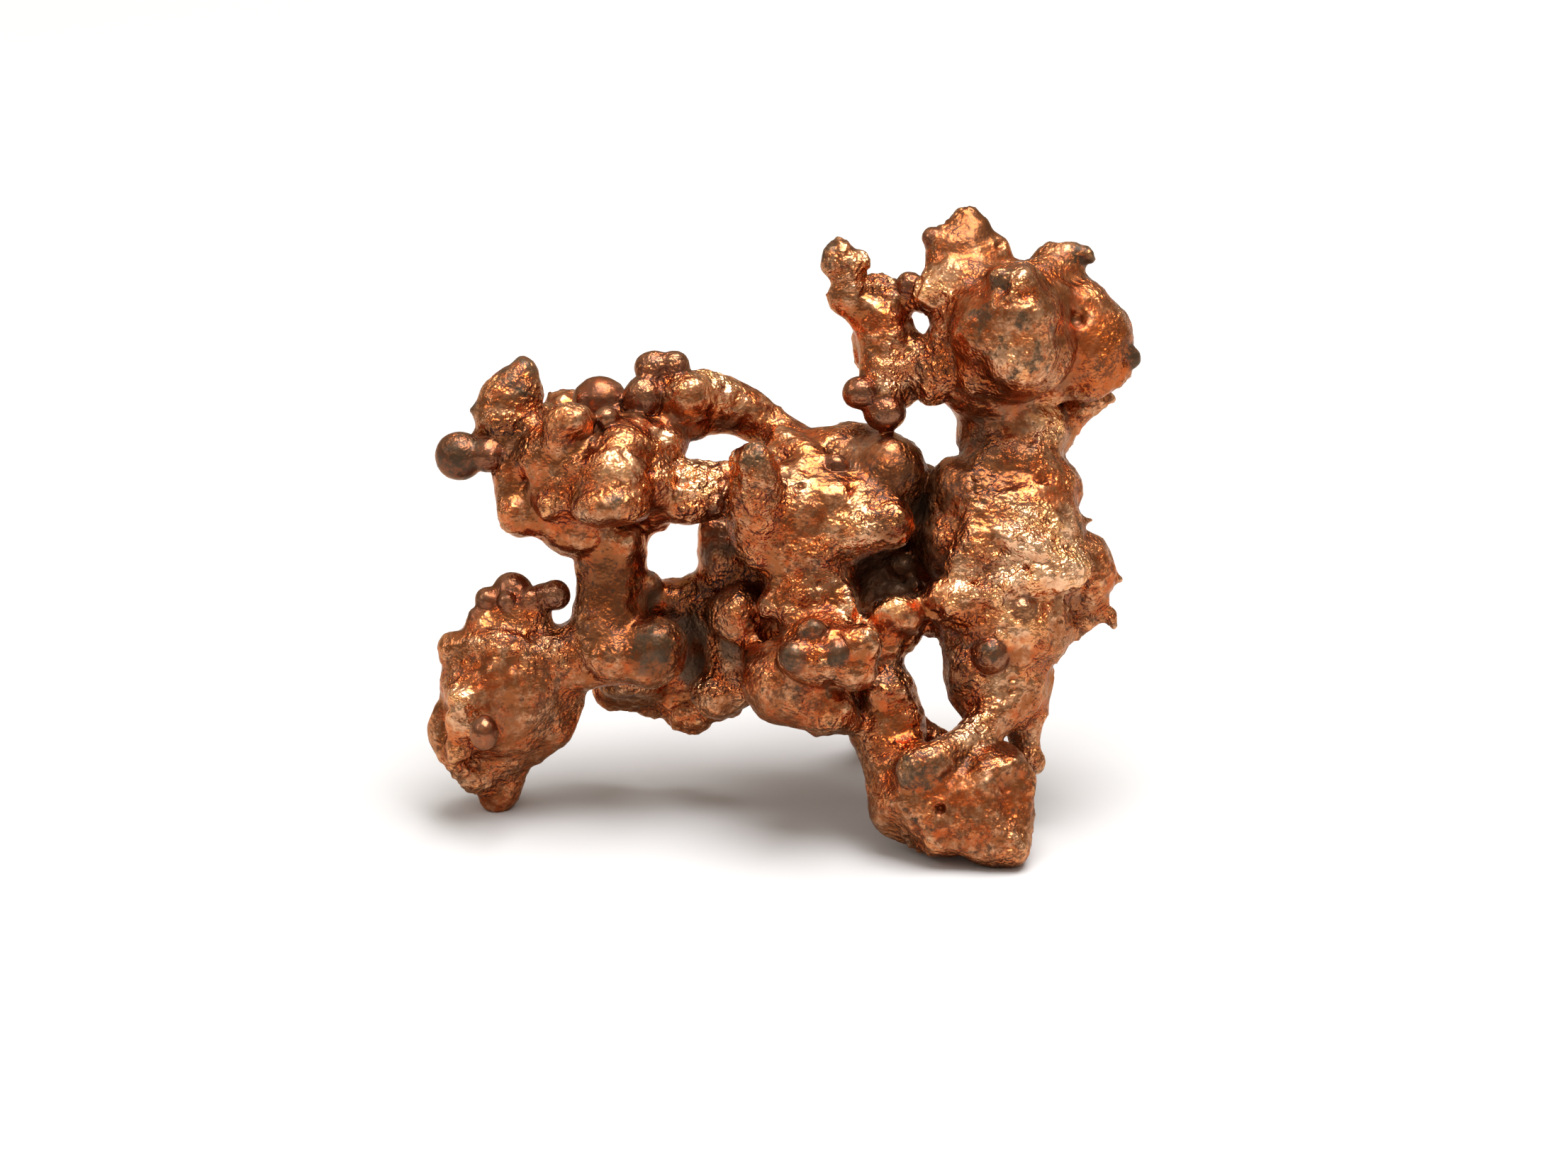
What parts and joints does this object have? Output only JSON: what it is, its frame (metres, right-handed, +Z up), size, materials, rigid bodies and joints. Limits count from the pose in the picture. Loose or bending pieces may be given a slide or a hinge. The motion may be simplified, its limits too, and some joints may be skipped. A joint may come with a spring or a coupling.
{
  "type": "native copper nugget",
  "caption": "Native copper nugget: branching mass of fused lobes and beads that stands on splayed feet, with windows through it.",
  "frame": {"origin": "middle of the nugget's bounding box, at the level its three feet stand on", "axes": "+X to the right seen from the front, the longest way across; +Y to the back; +Z up"},
  "size_m": [0.0405, 0.0221, 0.0335],
  "materials": {
    "native_copper": "bare natural copper, bright and hackly on top, brown-black tarnish on bead tips and in hollows"
  },
  "bodies": {
    "root": {"copper_nugget": "native_copper"}
  },
  "joints": []
}
